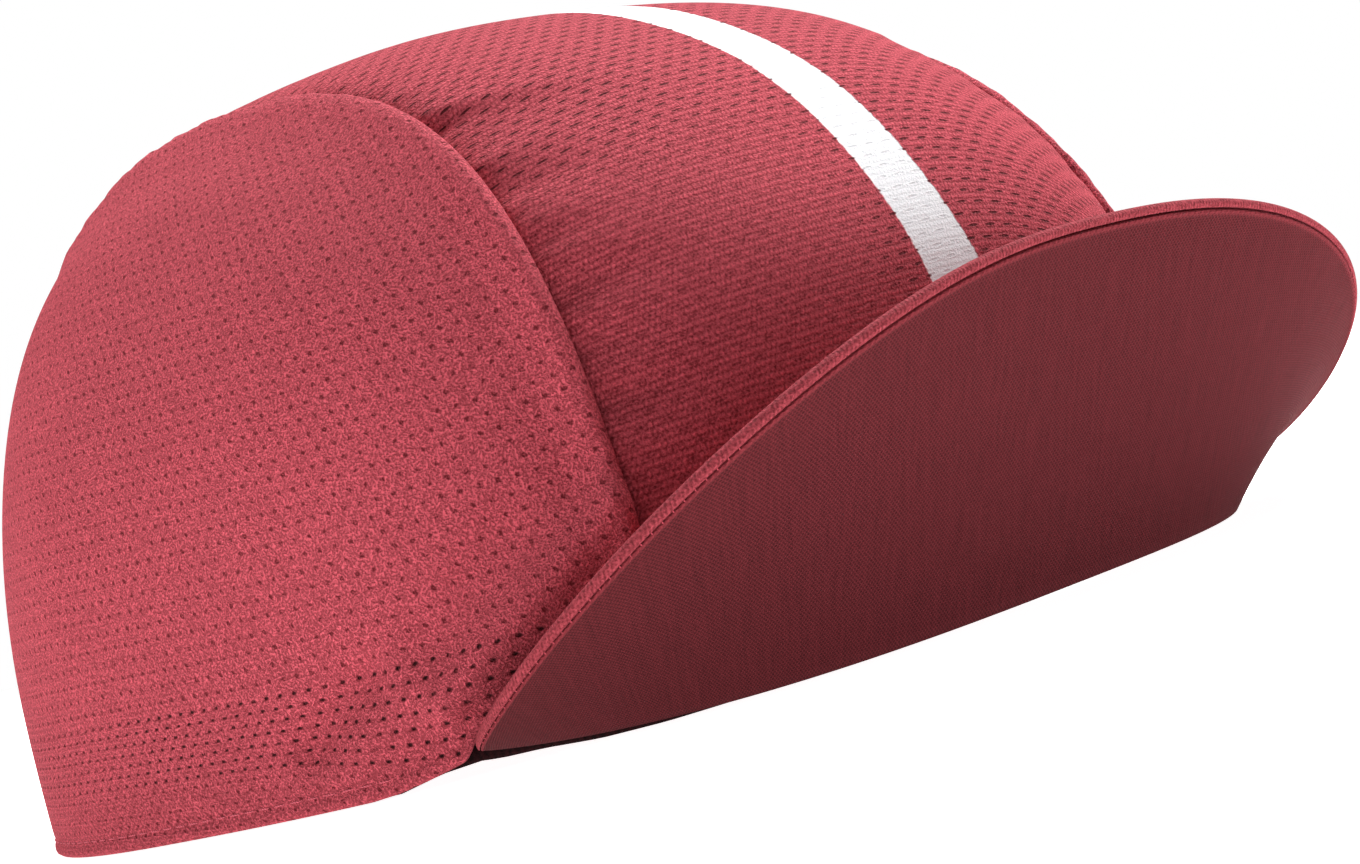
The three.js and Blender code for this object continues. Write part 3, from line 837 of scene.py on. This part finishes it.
def uv_pair(tree, layer):
    """The two coordinates of a named UV layer."""
    uv = tree.nodes.new("ShaderNodeUVMap")
    uv.uv_map = layer
    split = tree.nodes.new("ShaderNodeSeparateXYZ")
    tree.links.new(uv.outputs["UV"], split.inputs["Vector"])
    return Value(tree, split.outputs["X"]), Value(tree, split.outputs["Y"])


def vector(tree, x, y, z=0.0):
    node = tree.nodes.new("ShaderNodeCombineXYZ")
    for socket, value in zip(node.inputs, (x, y, z)):
        feed(tree, socket, value)
    return Value(tree, node.outputs[0])


def object_mm(tree):
    """Object coordinates in millimetres."""
    place = tree.nodes.new("ShaderNodeTexCoord")
    scale = tree.nodes.new("ShaderNodeVectorMath")
    scale.operation = "SCALE"
    scale.inputs["Scale"].default_value = 1 / MM
    tree.links.new(place.outputs["Object"], scale.inputs[0])
    return Value(tree, scale.outputs["Vector"])


def noise(tree, place, size, detail=2.0, roughness=0.55):
    node = tree.nodes.new("ShaderNodeTexNoise")
    feed(tree, node.inputs["Vector"], place)
    node.inputs["Scale"].default_value = 1 / size
    node.inputs["Detail"].default_value = detail
    node.inputs["Roughness"].default_value = roughness
    return Value(tree, node.outputs["Fac"])


def colour_mix(tree, low, high, share):
    node = tree.nodes.new("ShaderNodeMix")
    node.data_type = "RGBA"
    feed(tree, node.inputs["Factor"], share)
    ends = [socket for socket in node.inputs if socket.type == "RGBA"]
    for socket, value in zip(ends, (low, high)):
        feed(tree, socket, value if isinstance(value, Value) else srgb(value))
    result = next(socket for socket in node.outputs if socket.type == "RGBA")
    return Value(tree, result)


def srgb(colour):
    """A colour given as 0 to 255 screen values, as a shader needs it."""
    parts = [c / 255 for c in colour]
    linear = [c / 12.92 if c <= 0.04045 else ((c + 0.055) / 1.055) ** 2.4 for c in parts]
    return (*linear, 1.0)


def oval_spots(x, y, pitch, size, tilt, soft):
    """Soft oval spots at whole x and y, half a place over on every other row. pitch is a cell's size
    and size a spot's two radii, in mm."""
    row = y.rounded()
    shifted = x + row.absolute().odd() * 0.5
    across = (shifted - shifted.rounded()) * pitch[0]
    up = (y - row) * pitch[1]
    turned_across = (across * math.cos(tilt) + up * math.sin(tilt)) / size[0]
    turned_up = (up * math.cos(tilt) - across * math.sin(tilt)) / size[1]
    distance = (turned_across.power(2.0) + turned_up.power(2.0)).power(0.5)
    return 1 - distance.ramp(1 - soft, 1 + soft)


def cloth_shader(name, roughness, sheen, sheen_colour):
    material = bpy.data.materials.new(name)
    material.use_nodes = True
    shader = material.node_tree.nodes["Principled BSDF"]
    shader.inputs["Roughness"].default_value = roughness
    shader.inputs["Specular IOR Level"].default_value = 0.1
    shader.inputs["Sheen Weight"].default_value = sheen
    shader.inputs["Sheen Roughness"].default_value = 0.45
    shader.inputs["Sheen Tint"].default_value = srgb(sheen_colour)
    return material, material.node_tree, shader


def ribs(place, pitch):
    """A sine along a coordinate in metres, with its pitch in mm."""
    return (place * (2 * math.pi / (pitch * MM))).sine()


def finish_material(tree, shader, colour, height, depth):
    """Links the colour, and a bump whose height is a share of depth in mm."""
    feed(tree, shader.inputs["Base Color"], colour)
    bump = tree.nodes.new("ShaderNodeBump")
    bump.inputs["Strength"].default_value = 1.0
    bump.inputs["Distance"].default_value = depth * MM
    feed(tree, bump.inputs["Height"], height)
    tree.links.new(bump.outputs["Normal"], shader.inputs["Normal"])


def side_knit():
    """Fine flecked knit with small dimples in rows, open as holes near the hem."""
    material, tree, shader = cloth_shader("knit_side", 0.9, 0.2, (255, 112, 124))
    place = object_mm(tree)
    fleck = noise(tree, place, 0.31, 2.0, 0.6).ramp(0.34, 0.66)
    coarse = noise(tree, place, 1.1, 2.0)
    patch = noise(tree, place, 17, 2.0)
    x, y = uv_pair(tree, "eyelets")
    u, above = uv_pair(tree, "cloth")
    wobble = (coarse - 0.5) * 0.16
    cell = (EYELET_PITCH, ROW_PITCH)
    dimple = oval_spots(x + wobble, y + wobble, cell, (0.36, 0.26), 0.5, 0.5)
    dimple = dimple * coarse.ramp(0.2, 0.5)
    tone = fleck * 0.8 + patch * 0.12 + 0.08 - dimple * 0.65
    stray = noise(tree, vector(tree, u * 1500, above * 2400), 1.0, 2.0)
    low_behind = (1 - above.ramp(0.012, 0.045)) * (1 - u.ramp(0.0, 0.04))
    small = (EYELET_PITCH / 2, ROW_PITCH / 2.5)
    loop = oval_spots(x * 2 + wobble, y * 2.5 + wobble, small, (0.27, 0.17), 0.3, 0.8)
    tone = tone + stray * 0.2 + (loop - 0.2) * low_behind * 0.5
    run, from_seam = uv_pair(tree, "seam")
    crease = (run * (2 * math.pi / 0.00135) + coarse * 3.0).sine()
    tone = tone + crease * (1 - from_seam.ramp(0.0004, 0.0026)) * 0.12
    colour = colour_mix(tree, DEEP_RED, BRIGHT_RED, tone)
    opened = y.ramp(-0.55, -0.5) * (1 - y.ramp(OPEN_ROWS - 0.55, OPEN_ROWS - 0.5))
    hole = oval_spots(x + wobble * 0.4, y + wobble * 0.3, cell, (0.34, 0.2), -0.25, 0.4)
    hole = hole * opened * coarse.ramp(0.26, 0.5) * (u.ramp(-0.018, -0.002) * 0.65 + 0.35)
    tail = oval_spots(x + 0.14, y - 0.1, cell, (0.6, 0.2), -0.25, 0.6) * opened
    colour = colour_mix(tree, colour, DEEP_RED, tail * 0.6)
    colour = colour_mix(tree, colour, HOLE, hole)
    finish_material(tree, shader, colour, tone - hole * 1.2 - tail * 0.3, 0.3)
    return material


def centre_knit():
    """Knit with beads in rows and dark dashes across, and the white stripe along the middle."""
    material, tree, shader = cloth_shader("knit_centre", 0.9, 0.25, (255, 100, 112))
    place = object_mm(tree)
    fleck = noise(tree, place, 0.3, 2.0, 0.6).ramp(0.34, 0.66)
    coarse = noise(tree, place, 1.0, 2.0)
    patch = noise(tree, place, 17, 2.0)
    x, y = uv_pair(tree, "eyelets")
    wobble = (coarse - 0.5) * 0.14
    cell = (DASH_PITCH, DASH_ROW_PITCH)
    dash = oval_spots(x + wobble, y + wobble * 0.4, cell, (0.95, 0.19), 0.06, 0.45)
    across, along = uv_pair(tree, "cloth")
    closed = (1 - along.ramp(0.066, 0.088)) * (1 - across.ramp(-0.02, 0.0))
    dash = dash * coarse.ramp(0.26, 0.46) * (1 - closed * 0.7)
    bead_x, bead_y = x * 4.6 + wobble * 3.0, y * 2.0 + wobble * 1.2
    bead = oval_spots(bead_x, bead_y, (0.78, 0.98), (0.34, 0.3), 0.15, 0.9)
    tone = bead * 0.5 + fleck * 0.5 + patch * 0.1 - 0.02 - dash * 0.85
    red = colour_mix(tree, colour_mix(tree, DEEP_RED, BRIGHT_RED, tone), DARK_RED, dash * 0.9)
    pale = colour_mix(tree, GREY_YARN, WHITE_YARN, 1 - dash * 0.3 - (1 - fleck) * 0.06)
    ragged = (coarse - 0.5) * 0.7 + dash * 0.35
    edge = (across * (1 / MM)).absolute() + ragged + along.ramp(0.03, 0.06) * 0.5 - 0.5
    white = 1 - edge.ramp(STRIPE_HALF_WIDTH - 0.2, STRIPE_HALF_WIDTH + 0.2)
    colour = colour_mix(tree, red, pale, white)
    finish_material(tree, shader, colour, tone * (1 - white * 0.7), 0.3)
    return material


def dotted_weave():
    """Close weave with dark dots in a square grid, and a painted highlight along its edge where light
    catches the lip.
    """
    material, tree, shader = cloth_shader("weave_dotted", 0.95, 0.0, (255, 130, 140))
    u, v = uv_pair(tree, "cloth")
    wobble = (noise(tree, object_mm(tree), 2.2, 2.0) - 0.5) * 0.3
    across, up = u * (1 / (DOT_PITCH * MM)) + wobble, v * (2 / (DOT_PITCH * MM))
    dots = oval_spots(across, up, (DOT_PITCH, DOT_PITCH / 2), (0.23, 0.17), 0.0, 0.6)
    streak = noise(tree, vector(tree, u * 1000, v * 90), 0.8, 2.0)
    grain = noise(tree, object_mm(tree), 0.28, 2.0, 0.6)
    tone = streak * 0.45 + grain * 0.45 - dots * 0.55 + 0.25
    colour = colour_mix(tree, *WEAVE_COLOURS, tone)
    run, down = uv_pair(tree, "edge")
    slant = ribs(run + down, 1.2) * 0.5 + 0.5
    # Painted highlight: the rim along the edge is made paler, as where light catches the lip, broken up by
    # slanted ribs
    rim = (1 - down.ramp(0.0015, 0.0023)) * (slant * 0.4 + 0.6)
    colour = colour_mix(tree, colour, WEAVE_LIP_HIGHLIGHT, rim * 0.6)
    finish_material(tree, shader, colour, tone + rim * slant * 0.4, 0.16)
    return material


def edging_knit():
    """Soft knit of the peak's top cover, with fine ribs over its roll."""
    material, tree, shader = cloth_shader("knit_edging", 0.9, 0.15, (255, 112, 124))
    place = object_mm(tree)
    fleck = noise(tree, place, 0.34, 2.0, 0.6).ramp(0.3, 0.7)
    coarse = noise(tree, place, 1.2, 2.0)
    run, down = uv_pair(tree, "edge")
    rib = (run * (2 * math.pi / 0.00068) + down * 1800 + coarse * 2.0).sine()
    tone = fleck * 0.5 + coarse * 0.2 + 0.1 + rib * 0.12
    finish_material(tree, shader, colour_mix(tree, *EDGING_COLOURS, tone), tone, 0.22)
    return material


def band_cloth():
    """Dark knit with upright ribs, painted near-black for the shade under the peak's base."""
    material, tree, shader = cloth_shader("band_painted_shade", 0.95, 0.05, (200, 120, 125))
    grain = noise(tree, object_mm(tree), 0.5, 2.0, 0.6)
    rib = ribs(uv_pair(tree, "cloth")[0], 1.1) * 0.5 + 0.5
    tone = grain.ramp(0.3, 0.7) * 0.6 + rib * 0.4
    # The near-black band colour is painted shade under the peak's base
    finish_material(tree, shader, colour_mix(tree, *BAND_SHADE_COLOURS, tone), tone, 0.15)
    return material


def thread_material(name, dark, light):
    """Twisted sewing thread."""
    material, tree, shader = cloth_shader(name, 0.7, 0.15, (255, 150, 160))
    run, turn = uv_pair(tree, "cloth")
    twist = (run * (2 * math.pi / 0.0005) + turn * (2 * math.pi)).sine() * 0.5 + 0.5
    finish_material(tree, shader, colour_mix(tree, dark, light, twist), twist, 0.05)
    return material


# Sewing threads: short tubes laid on the cloth
def thread_tube(path, out, radius):
    """Points of a short tube with pinched ends along a path, and a pair of coordinates for each."""
    path = np.asarray(path)
    along = np.gradient(path, axis=0)
    along /= np.linalg.norm(along, axis=-1, keepdims=True)
    across = np.cross(along, out)
    across /= np.linalg.norm(across, axis=-1, keepdims=True)
    up = np.cross(across, along)
    turn = np.arange(THREAD_SIDES) / THREAD_SIDES * 2 * math.pi
    share = np.linspace(-1, 1, len(path))
    size = radius * np.sqrt(1 - 0.92 * share**4)[:, None, None]
    ring = across[:, None] * np.cos(turn)[None, :, None] + up[:, None] * np.sin(turn)[None, :, None]
    points = path[:, None] + ring * size
    run = arc_lengths(path, 0)
    pairs = np.stack(np.broadcast_arrays(run[:, None] * MM, turn[None, :] / (2 * math.pi)), -1)
    return points, pairs


def make_threads(name, paths, radius, material):
    points, pairs, faces = [], [], []
    for path, out in paths:
        tube, uvs = thread_tube(path, out, radius)
        rings, sides = tube.shape[:2]
        base = len(points) * rings * sides
        faces += grid_faces(rings, sides, base, closed=True).tolist()
        faces.append(list(range(base, base + sides)))
        faces.append(list(range(base + rings * sides - 1, base + rings * sides - sides - 1, -1)))
        points.append(tube)
        pairs.append(uvs)
    made = make_object(name, np.array(points), faces, {"cloth": np.array(pairs)}, material)
    if signed_volume(made) < 0:
        made.data.flip_normals()
    return made


class Surface:
    """Finds the nearest place on pieces of cloth, in mm round the rim's middle."""

    def __init__(self, pieces):
        self.trees = []
        for piece in pieces:
            mesh = piece.data
            points = [v.co.copy() for v in mesh.vertices]
            faces = [tuple(f.vertices) for f in mesh.polygons]
            self.trees.append(BVHTree.FromPolygons(points, faces))

    def nearest(self, point):
        place = Vector((point[0], point[1] + shift_y, point[2])) * MM
        hits = [tree.find_nearest(place) for tree in self.trees]
        hit = min(hits, key=lambda found: found[3])
        return np.array(hit[0]) / MM - [0, shift_y, 0], np.array(hit[1])


def hem_stitches(material, surface):
    """Running stitches above the hem, all round but for the part behind the peak."""
    corner = QUARTER - PEAK_USED_SPAN * PEAK_HALF_SPAN
    fine = np.linspace(-QUARTER, corner, 400)
    climb = np.array([climb_at_height(a, HEM_STITCH_HEIGHT) for a in fine])
    paths = []
    for side in (-1.0, 1.0):
        line = dome(side, fine, climb)
        run = arc_lengths(line, 0)
        pitch = HEM_STITCH["length"] + HEM_STITCH["gap"]
        for start in np.arange(0.5 * pitch, run[-1] - HEM_STITCH["clear"], pitch):
            places = start + np.linspace(0, HEM_STITCH["length"], THREAD_RINGS)
            line_points = np.stack([np.interp(places, run, line[:, k]) for k in range(3)], -1)
            found = [surface.nearest(point) for point in line_points]
            outward = np.mean([normal for place, normal in found], axis=0)
            arch = np.sin(np.linspace(0, math.pi, THREAD_RINGS))[:, None]
            lift = arch * HEM_STITCH["bulge"] - HEM_STITCH["sunk"]
            laid = np.array([place for place, normal in found]) + outward * lift
            paths.append((laid, outward))
    return make_threads("hem_stitches", paths, HEM_STITCH["radius"], material)


def edge_stitches(material):
    """Slanted threads across the ditch along the peak's edge."""
    base, rise, face, length = peak_frames(PEAK_COLUMNS)
    parts = (base, rise, face)
    run = arc_lengths(base + rise * length[:, None], 0)
    paths = []
    share = np.linspace(-1, 1, THREAD_RINGS)
    deep = 0.18 * np.abs(share) ** 1.5 * np.where(share < 0, 1.6, -0.4) - 0.02
    margin = EDGE_STITCH["margin"]
    for start in np.arange(margin, run[-1] - margin, EDGE_STITCH["pitch"]):
        places = start + share * EDGE_STITCH["half_length"]
        size = np.interp(places, run, length)
        if not EDGE_STITCH_PLACE[0] < size[0] < EDGE_STITCH_PLACE[1]:
            continue
        at = [np.stack([np.interp(places, run, part[:, k]) for k in range(3)], -1) for part in parts]
        close = np.array([ditch_place(one) for one in size])
        up = size - close - DITCH_WIDTH / 2 - share * EDGE_STITCH["half_width"]
        path = at[0] + at[1] * up[:, None] - at[2] * deep[:, None]
        paths.append((path, at[2][THREAD_RINGS // 2]))
    return make_threads("peak_edge_stitches", paths, EDGE_STITCH["radius"], material)


knit_of_sides = side_knit()
edging_of_peak = edging_knit()
centre = make_centre_panel(centre_knit())
side_right = make_side_panel("side_panel_right_cloth", -1.0, knit_of_sides)
side_left = make_side_panel("side_panel_left_cloth", 1.0, knit_of_sides)
band = make_sweatband(band_cloth())
top_cover = sweep_peak("peak_top_cover_cloth", top_cover_section, edging_of_peak)
under_cover = sweep_peak("peak_under_cover_cloth", under_cover_section, dotted_weave())
pink_thread = thread_material("thread_pink", *PINK_THREAD)
red_thread = thread_material("thread_red", *RED_THREAD)
hem_thread = hem_stitches(pink_thread, Surface([centre, side_right, side_left]))
edge_thread = edge_stitches(red_thread)
for thread, slot in ((hem_thread, "knit"), (edge_thread, "edging")):
    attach(thread, "root")

# What each piece stands for, its finish and the size that it was cut to
DRESSING = [
    (centre, "centre_panel", "knit", (0.115, 0.345), "stretched", 0.0335),
    (side_right, "side_panel_right", "knit", (0.19, 0.125), "stretched", 0.0175),
    (side_left, "side_panel_left", "knit", (0.19, 0.125), "stretched", 0.0175),
    (band, "sweatband", "band", (0.56, 0.019), "stretched", None),
    (top_cover, "peak_top_cover", "edging", (0.2, 0.06), "stretched", 0.009),
    (under_cover, "peak_under_cover", "weave", (0.19, 0.05), "stretched", 0.0085),
]
for piece, node, slot, flat, held, area in DRESSING:
    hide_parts(node)
    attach(piece, "root")


# Floor, camera and light
def make_floor():
    size = FLOOR_HALF_SIZE
    corners = [(-size, -size), (size, -size), (size, size), (-size, size)]
    mesh = bpy.data.meshes.new("floor")
    mesh.from_pydata([(x, y, -FLOOR_DEPTH) for x, y in corners], [], [(0, 1, 2, 3)])
    floor = bpy.data.objects.new("floor", mesh)
    bpy.context.collection.objects.link(floor)
    material = bpy.data.materials.new("floor_pale")
    material.use_nodes = True
    shader = material.node_tree.nodes["Principled BSDF"]
    shader.inputs["Base Color"].default_value = (0.8, 0.8, 0.8, 1)
    shader.inputs["Roughness"].default_value = 0.9
    shader.inputs["Emission Color"].default_value = (1, 1, 1, 1)
    shader.inputs["Emission Strength"].default_value = FLOOR_GLOW
    mesh.materials.append(material)


def make_camera():
    right = Vector((math.cos(VIEW_TURN), math.sin(VIEW_TURN), 0))
    level = math.cos(VIEW_RISE)
    back = Vector((math.sin(VIEW_TURN) * level, -math.cos(VIEW_TURN) * level, math.sin(VIEW_RISE)))
    up = back.cross(right)
    target = right * VIEW_TARGET[0] + up * VIEW_TARGET[1] + Vector((0, shift_y, 0))
    place = (target + back * VIEW_DISTANCE) * MM
    image_right = right * math.cos(VIEW_ROLL) + up * math.sin(VIEW_ROLL)
    image_up = up * math.cos(VIEW_ROLL) - right * math.sin(VIEW_ROLL)
    data = bpy.data.cameras.new("camera")
    data.sensor_width = SENSOR_WIDTH
    data.lens = VIEW_FOCAL / PHOTO_WIDTH * SENSOR_WIDTH
    data.clip_start = 0.01
    camera = bpy.data.objects.new("camera", data)
    bpy.context.collection.objects.link(camera)
    turned = Matrix((image_right, image_up, back)).transposed().to_4x4()
    camera.matrix_world = Matrix.Translation(place) @ turned
    bpy.context.scene.camera = camera


def make_light(name, direction, size, power):
    data = bpy.data.lights.new(name, "AREA")
    data.shape = "DISK"
    data.size = size
    data.energy = power
    light = bpy.data.objects.new(name, data)
    bpy.context.collection.objects.link(light)
    away = Vector(direction).normalized()
    light.location = Vector(LIGHT_TARGET) + away * LIGHT_DISTANCE
    light.rotation_euler = away.to_track_quat("Z", "Y").to_euler()


def make_world():
    """White behind the object, and little light from it."""
    world = bpy.data.worlds.new("studio")
    world.use_nodes = True
    tree = world.node_tree
    tree.nodes.clear()
    path = tree.nodes.new("ShaderNodeLightPath")
    seen = tree.nodes.new("ShaderNodeBackground")
    seen.inputs["Color"].default_value = (1, 1, 1, 1)
    seen.inputs["Strength"].default_value = 1.0
    lighting = tree.nodes.new("ShaderNodeBackground")
    lighting.inputs["Color"].default_value = (1, 1, 1, 1)
    lighting.inputs["Strength"].default_value = WORLD_LIGHT
    blend = tree.nodes.new("ShaderNodeMixShader")
    output = tree.nodes.new("ShaderNodeOutputWorld")
    tree.links.new(path.outputs["Is Camera Ray"], blend.inputs["Fac"])
    tree.links.new(lighting.outputs["Background"], blend.inputs[1])
    tree.links.new(seen.outputs["Background"], blend.inputs[2])
    tree.links.new(blend.outputs["Shader"], output.inputs["Surface"])
    bpy.context.scene.world = world


make_floor()
make_camera()
for light_name, light in LIGHTS.items():
    make_light(light_name, **light)
make_world()
bpy.context.scene.view_settings.view_transform = "Standard"
